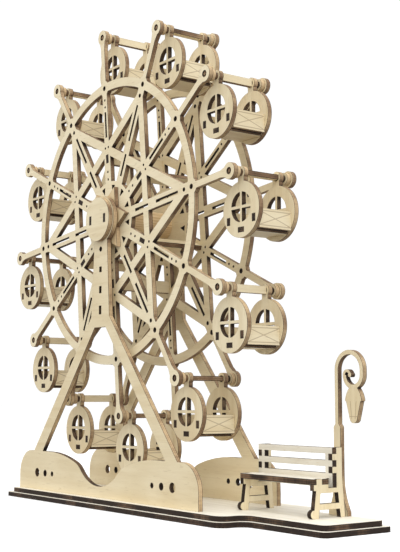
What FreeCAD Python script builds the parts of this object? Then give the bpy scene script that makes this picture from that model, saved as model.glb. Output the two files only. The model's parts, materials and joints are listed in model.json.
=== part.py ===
"""Hand-cranked ferris wheel toy, laser cut from 3 mm ply.

Frame: X runs along the wheel's plane, Y is the axle's direction (front is -Y) and Z is up.
The origin is on the ground, straight below the axle, half way between the two wheel plates.
"""
import FreeCAD, Part
import Sketcher
import math
import os

V = FreeCAD.Vector
doc = FreeCAD.newDocument("ferris_wheel_toy")
sheet = doc.addObject("Spreadsheet::Sheet", "sizes")


# ---------------------------------------------------------------- sizes

class Size:
    """A number, kept with the formula by which the sheet works it out."""

    def __init__(self, value, text):
        self.value = float(value)
        self.text = text

    def __add__(self, other):
        other = as_size(other)
        return Size(self.value + other.value, f"({self.text} + {other.text})")

    def __sub__(self, other):
        other = as_size(other)
        return Size(self.value - other.value, f"({self.text} - {other.text})")

    def __mul__(self, other):
        other = as_size(other)
        return Size(self.value * other.value, f"({self.text} * {other.text})")

    def __truediv__(self, other):
        other = as_size(other)
        return Size(self.value / other.value, f"({self.text} / {other.text})")

    def __neg__(self):
        return Size(-self.value, f"(-1 * {self.text})")

    def __radd__(self, other):
        return as_size(other) + self

    def __rsub__(self, other):
        return as_size(other) - self

    def __rmul__(self, other):
        return as_size(other) * self


def as_size(number):
    """A plain number as a Size."""
    if isinstance(number, Size):
        return number
    return Size(number, f"{number:.10g}")


def cosine(degrees):
    """Cosine of an angle in degrees."""
    angle = as_size(degrees)
    return Size(math.cos(math.radians(angle.value)), f"cos({angle.text} * 1 deg)")


def sine(degrees):
    """Sine of an angle in degrees."""
    angle = as_size(degrees)
    return Size(math.sin(math.radians(angle.value)), f"sin({angle.text} * 1 deg)")


def root(number):
    """Square root."""
    return Size(math.sqrt(number.value), f"sqrt({number.text})")


def size(name, value):
    """Write one driving dimension into the sheet and hand it back as a Size."""
    row = size.row
    size.row += 1
    sheet.set(f"A{row}", name)
    sheet.set(f"B{row}", f"{value:.10g}")
    sheet.setAlias(f"B{row}", name)
    return Size(value, f"sizes.{name}")


size.row = 1

# sheet material and fits
ply = size("ply", 3.0)
running_clearance = size("running_clearance", 0.05)
slot_clearance = size("slot_clearance", 0.05)
side_play = size("side_play", 0.2)

# wheel plates
arm_count = 12
arm_step = 360 / arm_count
spoke_count = 6
spoke_step = 360 / spoke_count
wheel_inner_width = size("wheel_inner_width", 41.4)
wheel_phase = size("wheel_phase", -5.5)
arm_radius = size("arm_radius", 130.0)
arm_width = size("arm_width", 4.2)
eye_radius = size("eye_radius", 5.0)
arm_flare_length = size("arm_flare_length", 8.0)
arm_flare_width = size("arm_flare_width", 7.4)
arm_flare_end = size("arm_flare_end", 1.5)
ring_radius = size("ring_radius", 93.0)
ring_width = size("ring_width", 6.0)
node_boss_radius = size("node_boss_radius", 5.2)
node_hole_radius = size("node_hole_radius", 1.65)
star_tip_radius = size("star_tip_radius", 92.0)
star_bar_width = size("star_bar_width", 6.0)
spoke_width = size("spoke_width", 7.4)
thin_spoke_width = size("thin_spoke_width", 5.6)
spoke_slit_width = size("spoke_slit_width", 1.9)
hub_radius = size("hub_radius", 26.8)
hub_hole_radius = size("hub_hole_radius", 21.5)
hub_hole_length = size("hub_hole_length", 5.0)
hub_hole_width = size("hub_hole_width", 4.0)
inner_slit_start = size("inner_slit_start", 31.0)
inner_slit_end = size("inner_slit_end", 46.0)
outer_slit_start = size("outer_slit_start", 55.0)
outer_slit_end = size("outer_slit_end", 79.0)
thin_slit_start = size("thin_slit_start", 58.0)
thin_slit_end = size("thin_slit_end", 76.0)
spoke_hole_place = size("spoke_hole_place", 85.4)
spoke_hole_radius = size("spoke_hole_radius", 1.3)
dot_radius = size("dot_radius", 0.8)
hub_dot_place = size("hub_dot_place", 28.6)
spoke_dot_place = size("spoke_dot_place", 33.8)
pair_dot_place = size("pair_dot_place", 50.8)
pair_dot_offset = size("pair_dot_offset", 1.9)
slit_dot_place = size("slit_dot_place", 79.5)
tip_dot_place = size("tip_dot_place", 84.5)

# axle, hub stars and hub sleeve
axle_radius = size("axle_radius", 4.0)
axle_height = size("axle_height", 188.0)
hub_star_radius = size("hub_star_radius", 23.4)
hub_sleeve_radius = size("hub_sleeve_radius", 9.0)
hub_gap = size("hub_gap", 1.0)

# spacer bars between the wheel plates
spacer_width = size("spacer_width", 8.0)
tenon_radius = size("tenon_radius", 43.0)
tenon_length = size("tenon_length", 5.8)

# support frames
foot_half_length = size("foot_half_length", 109.5)
hump_height = size("hump_height", 27.0)
valley_height = size("valley_height", 7.2)
hump_inner = size("hump_inner", 66.0)
brow_place = size("brow_place", 31.0)
brow_drop = size("brow_drop", 5.6)
brow_radius = size("brow_radius", 19.0)
wave_place = size("wave_place", 23.5)
wave_rise = size("wave_rise", 9.8)
foot_corner_radius = size("foot_corner_radius", 16.5)
leg_outer_foot = size("leg_outer_foot", 88.5)
leg_inner_foot = size("leg_inner_foot", 76.0)
leg_sink = size("leg_sink", 4.0)
crotch_depth = size("crotch_depth", 71.5)
crotch_half = size("crotch_half", 6.8)
neck_bottom_depth = size("neck_bottom_depth", 64.5)
neck_top_half = size("neck_top_half", 7.0)
neck_bottom_half = size("neck_bottom_half", 11.3)
head_radius = size("head_radius", 15.8)
neck_hole_depth = size("neck_hole_depth", 19.7)
neck_hole_radius = size("neck_hole_radius", 1.7)
neck_slot_depth = size("neck_slot_depth", 33.2)
neck_slot_pitch = size("neck_slot_pitch", 13.5)
neck_slot_width = size("neck_slot_width", 3.0)
neck_slot_height = size("neck_slot_height", 3.7)
neck_slot_growth = size("neck_slot_growth", 1.0)
foot_hole_height = size("foot_hole_height", 11.8)
foot_hole_outer = size("foot_hole_outer", 83.5)
foot_hole_middle = size("foot_hole_middle", 72.0)
foot_hole_inner = size("foot_hole_inner", 62.0)
foot_hole_large = size("foot_hole_large", 3.0)
foot_hole_medium = size("foot_hole_medium", 2.3)
foot_hole_small = size("foot_hole_small", 1.7)
foot_tab_length = size("foot_tab_length", 14.0)
foot_tab_place = size("foot_tab_place", 70.0)

# hub cap and its keys
cap_radius = size("cap_radius", 14.6)
key_offset = size("key_offset", 8.8)
key_width = size("key_width", 2.6)
key_height = size("key_height", 5.8)

# base plates
base_left = size("base_left", 111.0)
base_wide_right = size("base_wide_right", 137.5)
base_right = size("base_right", 202.0)
base_front = size("base_front", 36.2)
base_back = size("base_back", 40.6)
tongue_front = size("tongue_front", 19.2)
tongue_back = size("tongue_back", 24.2)
base_ledge = size("base_ledge", 3.0)
base_corner_radius = size("base_corner_radius", 4.0)
base_waist_radius = size("base_waist_radius", 7.5)

# cabins
journal_radius = size("journal_radius", 2.05)
journal_recess = size("journal_recess", 0.9)
journal_nub_radius = size("journal_nub_radius", 1.0)
cabin_washer_radius = size("cabin_washer_radius", 3.7)
washer_gap = size("washer_gap", 2.6)
cabin_head_radius = size("cabin_head_radius", 3.7)
cabin_disc_radius = size("cabin_disc_radius", 16.6)
cabin_disc_drop = size("cabin_disc_drop", 21.6)
cabin_neck_width = size("cabin_neck_width", 5.4)
window_radius = size("window_radius", 8.9)
window_drop = size("window_drop", 20.2)
mullion_width = size("mullion_width", 1.8)
panel_place = size("panel_place", 11.6)
panel_top_drop = size("panel_top_drop", 22.1)
panel_height = size("panel_height", 11.2)
panel_tenon_height = size("panel_tenon_height", 4.5)
floor_drop = size("floor_drop", 33.5)
floor_tenon_width = size("floor_tenon_width", 5.5)
bar_width = size("bar_width", 4.7)

# bench
bench_left = size("bench_left", 113.9)
bench_length = size("bench_length", 63.0)
bench_front = size("bench_front", -3.4)
bench_back = size("bench_back", 10.0)
bench_height = size("bench_height", 37.5)
upright_width = size("upright_width", 7.2)
seat_height = size("seat_height", 21.0)
seat_nose = size("seat_nose", 0.3)
nose_depth = size("nose_depth", 2.0)
seat_tab_front = size("seat_tab_front", 2.3)
seat_tab_length = size("seat_tab_length", 4.6)
bench_leg_width = size("bench_leg_width", 3.2)
bench_leg_rake = size("bench_leg_rake", 1.8)
bench_ball_radius = size("bench_ball_radius", 2.3)
bench_toe = size("bench_toe", 2.6)
rail_height = size("rail_height", 3.2)
top_rail_height = size("top_rail_height", 4.6)
back_drop = size("back_drop", 2.0)
low_rail_place = size("low_rail_place", 4.6)
slat_height = size("slat_height", 3.4)
slat_gap = size("slat_gap", 3.5)
slat_stile = size("slat_stile", 5.6)

# street lamp
lamp_place = size("lamp_place", 170.0)
lamp_front = size("lamp_front", 20.3)
lamp_low_width = size("lamp_low_width", 5.2)
lamp_high_width = size("lamp_high_width", 2.5)
lamp_shoulder_height = size("lamp_shoulder_height", 50.0)
lamp_shoulder = size("lamp_shoulder", 1.6)
scroll_height = size("scroll_height", 77.0)
hook_height = size("hook_height", 79.7)
hook_radius = size("hook_radius", 11.1)
loop_radius = size("loop_radius", 7.85)
curl_radius = size("curl_radius", 3.1)
curl_width = size("curl_width", 1.6)
curl_ball_radius = size("curl_ball_radius", 1.3)
lamp_foot_spread = size("lamp_foot_spread", 9.6)
lamp_foot_height = size("lamp_foot_height", 21.0)
lamp_toe_height = size("lamp_toe_height", 2.4)
lamp_tab_length = size("lamp_tab_length", 6.0)
lantern_drop = size("lantern_drop", 8.4)
lantern_top_width = size("lantern_top_width", 5.0)
roof_radius = size("roof_radius", 13.0)
eaves_width = size("eaves_width", 12.6)
eaves_drop = size("eaves_drop", 5.0)
eaves_thickness = size("eaves_thickness", 1.0)
lantern_body_top = size("lantern_body_top", 11.2)
lantern_body_bottom = size("lantern_body_bottom", 5.8)
lantern_body_height = size("lantern_body_height", 9.6)
lantern_tip_height = size("lantern_tip_height", 2.4)

# crank at the back
crank_length = size("crank_length", 34.0)
crank_arm_width = size("crank_arm_width", 11.0)
crank_hub_radius = size("crank_hub_radius", 9.0)
crank_gap = size("crank_gap", 0.5)
crank_pin_radius = size("crank_pin_radius", 2.5)
knob_radius = size("knob_radius", 6.5)
knob_length = size("knob_length", 18.0)
pin_head_radius = size("pin_head_radius", 4.5)

# planes that several pieces share
half_inner = wheel_inner_width / 2
half_outer = half_inner + ply
wheel_plate_y = half_inner + ply / 2
hub_star_y = half_outer + ply / 2
support_inner = half_outer + ply + hub_gap
support_y = support_inner + ply / 2
support_outer = support_inner + ply
base_top = 2 * ply
axle_bore = axle_radius + running_clearance
slot_width = ply + 2 * slot_clearance


# ---------------------------------------------------------------- helpers

def bind(thing, prop, formula):
    """Tie one property to the sheet."""
    thing.setExpression(prop, as_size(formula).text)


def body_named(label):
    """An empty body."""
    body = doc.addObject("PartDesign::Body", label)
    body.Label = label
    return body


def sketch_in(body, plane):
    """An empty sketch on one of the body's own origin planes."""
    roles = {feature.Role: feature for feature in body.Origin.OriginFeatures}
    sketch = body.newObject("Sketcher::SketchObject", body.Label + "_sketch")
    sketch.AttachmentSupport = (roles[plane], [""])
    sketch.MapMode = "FlatFace"
    return sketch


def fix_point(sketch, geometry, point, x, y):
    """Hold one sketch point at x, y from the origin."""
    for kind, coordinate in (("DistanceX", as_size(x)), ("DistanceY", as_size(y))):
        index = sketch.addConstraint(
            Sketcher.Constraint(kind, -1, 1, geometry, point, coordinate.value))
        sketch.setExpression(f"Constraints[{index}]", coordinate.text)


def circle(sketch, x, y, radius):
    """Draw a circle."""
    x, y, radius = as_size(x), as_size(y), as_size(radius)
    geometry = sketch.addGeometry(Part.Circle(V(x.value, y.value, 0), V(0, 0, 1), radius.value))
    fix_point(sketch, geometry, 3, x, y)
    index = sketch.addConstraint(Sketcher.Constraint("Radius", geometry, radius.value))
    sketch.setExpression(f"Constraints[{index}]", radius.text)


def arc_between(start, end, radius):
    """Arc under half a turn; a positive radius turns left on the way, a negative one right."""
    half = (end - start) * 0.5
    height = math.sqrt(max(radius * radius - half.Length ** 2, 0.0))
    left = V(-half.y, half.x, 0)
    left.normalize()
    side = 1 if radius > 0 else -1
    centre = start + half + left * height * side
    middle = centre - left * abs(radius) * side
    return Part.Arc(start, middle, end)


def bow_radius(run, rise):
    """Radius of an arc that starts level and rises this much over this run."""
    return (run * run + rise * rise) / (2 * rise)


def outline(sketch, corners):
    """Draw a closed outline. A corner is (x, y), or (x, y, radius) where an arc leads to it."""
    places = [V(as_size(c[0]).value, as_size(c[1]).value, 0) for c in corners]
    first = None
    count = len(corners)
    for number in range(count):
        target = (number + 1) % count
        start, end = places[number], places[target]
        if len(corners[target]) == 3:
            radius = as_size(corners[target][2])
            geometry = sketch.addGeometry(arc_between(start, end, radius.value))
            turns_left = radius.value > 0
            tail, head = (1, 2) if turns_left else (2, 1)
            index = sketch.addConstraint(
                Sketcher.Constraint("Radius", geometry, abs(radius.value)))
            sketch.setExpression(f"Constraints[{index}]", f"abs({radius.text})")
        else:
            geometry = sketch.addGeometry(Part.LineSegment(start, end))
            tail, head = 1, 2
        fix_point(sketch, geometry, tail, *corners[number][:2])
        if first is None:
            first = (geometry, tail)
        else:
            sketch.addConstraint(
                Sketcher.Constraint("Coincident", last[0], last[1], geometry, tail))
        last = (geometry, head)
    sketch.addConstraint(Sketcher.Constraint("Coincident", last[0], last[1], first[0], first[1]))


def rectangle(sketch, left, right, bottom, top):
    """Draw an upright rectangle."""
    outline(sketch, [(left, bottom), (right, bottom), (right, top), (left, top)])


def rounded(corners):
    """Outline of a right-angled polygon, given as (x, y, radius), run anticlockwise."""
    points = []
    count = len(corners)
    for number, (x, y, radius) in enumerate(corners):
        before = corners[number - 1]
        after = corners[(number + 1) % count]
        into_x = sign(x, before[0])
        into_y = sign(y, before[1])
        out_x = sign(after[0], x)
        out_y = sign(after[1], y)
        turn = into_x * out_y - into_y * out_x
        points.append((x - into_x * radius, y - into_y * radius))
        points.append((x + out_x * radius, y + out_y * radius, turn * radius))
    return points


def sign(first, second):
    """-1, 0 or 1 for the way from the second to the first."""
    step = as_size(first).value - as_size(second).value
    return (step > 1e-9) - (step < -1e-9)


def turned(points, degrees):
    """Points turned anticlockwise about the origin."""
    c, s = cosine(degrees), sine(degrees)
    return [(x * c - y * s, x * s + y * c) for x, y in points]


def radial_box(inner, outer, width, degrees):
    """Corners of a bar that runs outward at an angle from the x axis."""
    half = as_size(width) / 2
    corners = [(as_size(inner), -half), (as_size(outer), -half),
               (as_size(outer), half), (as_size(inner), half)]
    return turned(corners, degrees)


def pad(body, sketch, thickness, offset=None):
    """Add material, half to each side of the sketch, or from it upward at an offset."""
    feature = body.newObject("PartDesign::Pad", body.Label + "_pad")
    feature.Profile = sketch
    if offset is None:
        feature.SideType = "Symmetric"
    else:
        bind(sketch, "AttachmentOffset.Base.z", offset)
    bind(feature, "Length", thickness)
    sketch.Visibility = False
    return feature


def cut(body, sketch):
    """Cut a sketch right through the body."""
    feature = body.newObject("PartDesign::Pocket", body.Label + "_cut")
    feature.Profile = sketch
    feature.SideType = "Symmetric"
    feature.Type = "ThroughAll"
    sketch.Visibility = False
    return feature


def around(body, features, count):
    """Repeat features evenly about the body's Y axis."""
    roles = {feature.Role: feature for feature in body.Origin.OriginFeatures}
    pattern = body.newObject("PartDesign::PolarPattern", body.Label + "_ring")
    pattern.Originals = features
    pattern.Axis = (roles["Y_Axis"], [""])
    pattern.Angle = 360
    pattern.Occurrences = count
    body.Tip = pattern
    return pattern


def washer(label, outer, inner, thickness):
    """A flat ring about the Y axis, half to each side of the origin."""
    body = body_named(label)
    sketch = sketch_in(body, "XZ_Plane")
    circle(sketch, 0, 0, outer)
    circle(sketch, 0, 0, inner)
    pad(body, sketch, thickness)
    return body


def place(thing, x=0, y=0, z=0):
    """Tie an object's position to the sheet."""
    for axis, coordinate in zip("xyz", (x, y, z)):
        bind(thing, f"Placement.Base.{axis}", coordinate)


def copy_of(pieces, label, x=0, y=0, z=0, spin=None):
    """Place copies of finished pieces together, spun about Y and then moved."""
    group = doc.addObject("Part::Compound", label)
    group.Label = label
    group.Links = pieces
    if spin is not None:
        group.Placement = FreeCAD.Placement(V(0, 0, 0), FreeCAD.Rotation(V(0, 1, 0), spin.value))
        bind(group, "Placement.Rotation.Angle", spin)
    place(group, x, y, z)
    return group


nodes = []


def keep(thing, label=None):
    """Mark an object as a piece of the toy, under its own name."""
    if label:
        thing.Label = label
    nodes.append(thing)
    return thing


# ---------------------------------------------------------------- base

def base_plate(label, margin):
    """The base's outline, a wide part under the wheel and a tongue under the bench."""
    left = -(base_left + margin)
    wide = base_wide_right + margin
    right = base_right + margin
    front, tongue_start = -(base_front + margin), -(tongue_front + margin)
    back, tongue_end = base_back + margin, tongue_back + margin
    corner = base_corner_radius
    waist = base_waist_radius
    body = body_named(label)
    sketch = sketch_in(body, "XY_Plane")
    outline(sketch, rounded([
        (left, front, corner), (wide, front, waist), (wide, tongue_start, waist),
        (right, tongue_start, corner), (right, tongue_end, corner), (wide, tongue_end, waist),
        (wide, back, waist), (left, back, corner)]))
    pad(body, sketch, ply)
    return body


def make_base():
    """Lower plate, and the upper plate with slots for the supports and the lamp."""
    lower = keep(base_plate("base_lower_plate", base_ledge))
    place(lower, z=ply / 2)
    upper = keep(base_plate("base_upper_plate", as_size(0)))
    place(upper, z=ply * 1.5)
    half_slot = slot_width / 2
    half_tab = foot_tab_length / 2 + slot_clearance
    slots = sketch_in(upper, "XY_Plane")
    for side in (-1, 1):
        for end in (-1, 1):
            middle = end * foot_tab_place
            rectangle(slots, middle - half_tab, middle + half_tab,
                      side * support_y - half_slot, side * support_y + half_slot)
    half_lamp_tab = lamp_tab_length / 2 + slot_clearance
    rectangle(slots, lamp_place - half_lamp_tab, lamp_place + half_lamp_tab,
              lamp_front - slot_clearance, lamp_front + ply + slot_clearance)
    cut(upper, slots)


# ---------------------------------------------------------------- supports

def make_supports():
    """A-frame with its wavy foot, cut as one plate. Its sketches have the axle at their origin."""
    body = body_named("support_pattern")
    floor = base_top - axle_height
    hump = floor + hump_height
    valley = floor + valley_height
    top_radius = bow_radius(hump_inner - brow_place, brow_drop)
    valley_radius = bow_radius(wave_place, wave_rise)
    shoulder = hump - foot_corner_radius
    flat_outer = foot_half_length - foot_corner_radius
    foot = sketch_in(body, "XZ_Plane")
    outline(foot, [
        (-foot_half_length, floor), (foot_half_length, floor), (foot_half_length, shoulder),
        (flat_outer, hump, foot_corner_radius), (hump_inner, hump),
        (brow_place, hump - brow_drop, top_radius), (wave_place, valley + wave_rise, brow_radius),
        (0, valley, -valley_radius), (-wave_place, valley + wave_rise, -valley_radius),
        (-brow_place, hump - brow_drop, brow_radius), (-hump_inner, hump, top_radius),
        (-flat_outer, hump), (-foot_half_length, shoulder, foot_corner_radius)])
    pad(body, foot, ply)
    leg_drop = -hump - neck_bottom_depth
    outer_slope = (leg_outer_foot - neck_bottom_half) / leg_drop
    inner_slope = (leg_inner_foot - crotch_half) / (-hump - crotch_depth)
    legs = sketch_in(body, "XZ_Plane")
    outer_end = leg_outer_foot + leg_sink * outer_slope
    inner_end = leg_inner_foot + leg_sink * inner_slope
    outline(legs, [
        (-neck_top_half, 0), (-neck_bottom_half, -neck_bottom_depth),
        (-outer_end, hump - leg_sink), (-inner_end, hump - leg_sink),
        (-crotch_half, -crotch_depth), (crotch_half, -crotch_depth),
        (inner_end, hump - leg_sink), (outer_end, hump - leg_sink),
        (neck_bottom_half, -neck_bottom_depth), (neck_top_half, 0)])
    pad(body, legs, ply)
    head = sketch_in(body, "XZ_Plane")
    circle(head, 0, 0, head_radius)
    pad(body, head, ply)
    tabs = sketch_in(body, "XZ_Plane")
    for end in (-1, 1):
        middle = end * foot_tab_place
        rectangle(tabs, middle - foot_tab_length / 2, middle + foot_tab_length / 2,
                  floor - ply, floor + ply)
    pad(body, tabs, ply)
    holes = sketch_in(body, "XZ_Plane")
    circle(holes, 0, 0, axle_bore)
    circle(holes, 0, -neck_hole_depth, neck_hole_radius)
    for number in range(3):
        middle = -(neck_slot_depth + number * neck_slot_pitch)
        half_height = (neck_slot_height + number * neck_slot_growth) / 2
        rectangle(holes, -neck_slot_width / 2, neck_slot_width / 2,
                  middle - half_height, middle + half_height)
    for end in (-1, 1):
        key_slot(holes, end * key_offset)
        for across, radius in ((foot_hole_outer, foot_hole_large),
                               (foot_hole_middle, foot_hole_medium),
                               (foot_hole_inner, foot_hole_small)):
            circle(holes, end * across, floor + foot_hole_height, radius)
    cut(body, holes)
    keep(copy_of([body], "support_front", y=-support_y, z=axle_height))
    keep(copy_of([body], "support_rear", y=support_y, z=axle_height))


def key_slot(sketch, middle):
    """Slot for one key of the hub cap."""
    half_width = key_width / 2 + slot_clearance
    half_height = key_height / 2 + slot_clearance
    rectangle(sketch, middle - half_width, middle + half_width, -half_height, half_height)


def make_hub_cap():
    """Disc that closes the front bearing, and the two keys that pin it to the support."""
    disc = keep(body_named("hub_cap_disc"))
    sketch = sketch_in(disc, "XZ_Plane")
    circle(sketch, 0, 0, cap_radius)
    for end in (-1, 1):
        key_slot(sketch, end * key_offset)
    pad(disc, sketch, ply)
    place(disc, y=-(support_outer + ply / 2), z=axle_height)
    keys = keep(body_named("hub_cap_keys"))
    sketch = sketch_in(keys, "XZ_Plane")
    for end in (-1, 1):
        rectangle(sketch, end * key_offset - key_width / 2, end * key_offset + key_width / 2,
                  -key_height / 2, key_height / 2)
    pad(keys, sketch, 2 * ply)
    place(keys, y=-support_outer, z=axle_height)


# ---------------------------------------------------------------- wheel

def make_wheel_plates():
    """Ring, six-pointed star, spokes, hub and twelve arms, cut as one plate."""
    body = body_named("wheel_plate_pattern")
    hub = sketch_in(body, "XZ_Plane")
    circle(hub, 0, 0, hub_radius)
    pad(body, hub, ply)
    spokes = sketch_in(body, "XZ_Plane")
    outline(spokes, radial_box(0, ring_radius, spoke_width, 0))
    wide_spoke = pad(body, spokes, ply)
    spokes = sketch_in(body, "XZ_Plane")
    waist = star_tip_radius / root(as_size(3))
    outline(spokes, radial_box(0, waist, spoke_width, arm_step))
    short_spoke = pad(body, spokes, ply)
    spokes = sketch_in(body, "XZ_Plane")
    outline(spokes, radial_box(0, ring_radius, thin_spoke_width, arm_step))
    thin_spoke = pad(body, spokes, ply)
    around(body, [wide_spoke, short_spoke, thin_spoke], spoke_count)
    ring = sketch_in(body, "XZ_Plane")
    circle(ring, 0, 0, ring_radius + ring_width / 2)
    circle(ring, 0, 0, ring_radius - ring_width / 2)
    pad(body, ring, ply)
    star = sketch_in(body, "XZ_Plane")
    for radius in (star_tip_radius, star_tip_radius - 2 * star_bar_width):
        outline(star, [(radius * cosine(turn), radius * sine(turn)) for turn in (0, 120, 240)])
    triangle = pad(body, star, ply)
    around(body, [triangle], 2)
    arm = sketch_in(body, "XZ_Plane")
    outline(arm, radial_box(ring_radius, arm_radius, arm_width, 0))
    arm_bar = pad(body, arm, ply)
    flare = sketch_in(body, "XZ_Plane")
    flare_start, flare_end = arm_radius - arm_flare_length, arm_radius - arm_flare_end
    outline(flare, [(flare_start, -arm_width / 2), (flare_end, -arm_flare_width / 2),
                    (flare_end, arm_flare_width / 2), (flare_start, arm_width / 2)])
    arm_flare = pad(body, flare, ply)
    eye = sketch_in(body, "XZ_Plane")
    circle(eye, arm_radius, 0, eye_radius)
    arm_eye = pad(body, eye, ply)
    boss = sketch_in(body, "XZ_Plane")
    circle(boss, ring_radius, 0, node_boss_radius)
    node_boss = pad(body, boss, ply)
    holes = sketch_in(body, "XZ_Plane")
    circle(holes, arm_radius, 0, journal_radius + running_clearance)
    circle(holes, ring_radius, 0, node_hole_radius)
    half = hub_hole_width / 2
    inner = hub_hole_radius - hub_hole_length / 2
    outer = hub_hole_radius + hub_hole_length / 2
    outline(holes, turned([(inner, as_size(0)), (outer, -half), (outer, half)], arm_step / 2))
    arm_holes = cut(body, holes)
    around(body, [arm_bar, arm_flare, arm_eye, node_boss, arm_holes], arm_count)
    marks = sketch_in(body, "XZ_Plane")
    outline(marks, radial_box(inner_slit_start, inner_slit_end, spoke_slit_width, 0))
    outline(marks, radial_box(outer_slit_start, outer_slit_end, spoke_slit_width, 0))
    circle(marks, spoke_hole_place, 0, spoke_hole_radius)
    for dot in ((hub_dot_place, as_size(0)), (spoke_dot_place, as_size(0)),
                (pair_dot_place, pair_dot_offset), (pair_dot_place, -pair_dot_offset),
                (slit_dot_place, as_size(0)), (tip_dot_place, as_size(0))):
        circle(marks, *turned([dot], arm_step)[0], dot_radius)
    outline(marks, radial_box(thin_slit_start, thin_slit_end, spoke_slit_width, arm_step))
    half_tenon = tenon_length / 2 + slot_clearance
    outline(marks, radial_box(tenon_radius - half_tenon, tenon_radius + half_tenon,
                              slot_width, arm_step))
    spoke_marks = cut(body, marks)
    around(body, [spoke_marks], spoke_count)
    bore = sketch_in(body, "XZ_Plane")
    circle(bore, 0, 0, axle_bore)
    body.Tip = cut(body, bore)
    keep(copy_of([body], "wheel_front_plate", y=-wheel_plate_y, z=axle_height, spin=wheel_phase))
    keep(copy_of([body], "wheel_rear_plate", y=wheel_plate_y, z=axle_height, spin=wheel_phase))


def make_hub_parts():
    """Axle, hub stars, and the sleeve and bars that space the wheel plates."""
    star = body_named("hub_star_pattern")
    sketch = sketch_in(star, "XZ_Plane")
    points = []
    for number in range(spoke_count):
        tip, valley = spoke_step * number, spoke_step * number + arm_step
        inner = hub_star_radius / root(as_size(3))
        points.append((hub_star_radius * cosine(tip), hub_star_radius * sine(tip)))
        points.append((inner * cosine(valley), inner * sine(valley)))
    outline(sketch, points)
    circle(sketch, 0, 0, axle_bore)
    pad(star, sketch, ply)
    keep(copy_of([star], "hub_star_front", y=-hub_star_y, z=axle_height, spin=wheel_phase))
    keep(copy_of([star], "hub_star_rear", y=hub_star_y, z=axle_height, spin=wheel_phase))
    sleeve = keep(washer("hub_sleeve", hub_sleeve_radius, axle_bore, wheel_inner_width))
    place(sleeve, z=axle_height)
    axle = keep(body_named("axle"))
    sketch = sketch_in(axle, "XZ_Plane")
    circle(sketch, 0, 0, axle_radius)
    front = support_outer - side_play
    rear = support_outer + crank_gap + 2 * ply
    pad(axle, sketch, front + rear)
    place(axle, y=(rear - front) / 2, z=axle_height)
    spacer = body_named("spacer_pattern")
    for length, half_width in ((spacer_width, half_inner), (tenon_length, half_outer)):
        sketch = sketch_in(spacer, "XY_Plane")
        rectangle(sketch, tenon_radius - length / 2, tenon_radius + length / 2,
                  -half_width, half_width)
        pad(spacer, sketch, ply)
    spacers = [copy_of([spacer], f"spacer_{number + 1}",
                       spin=wheel_phase + (spoke_step * number + arm_step))
               for number in range(spoke_count)]
    keep(copy_of(spacers, "wheel_spacer_bars", z=axle_height))


# ---------------------------------------------------------------- cabins

lying_bars = (1, 3, 5, 6, 9, 11)


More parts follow.
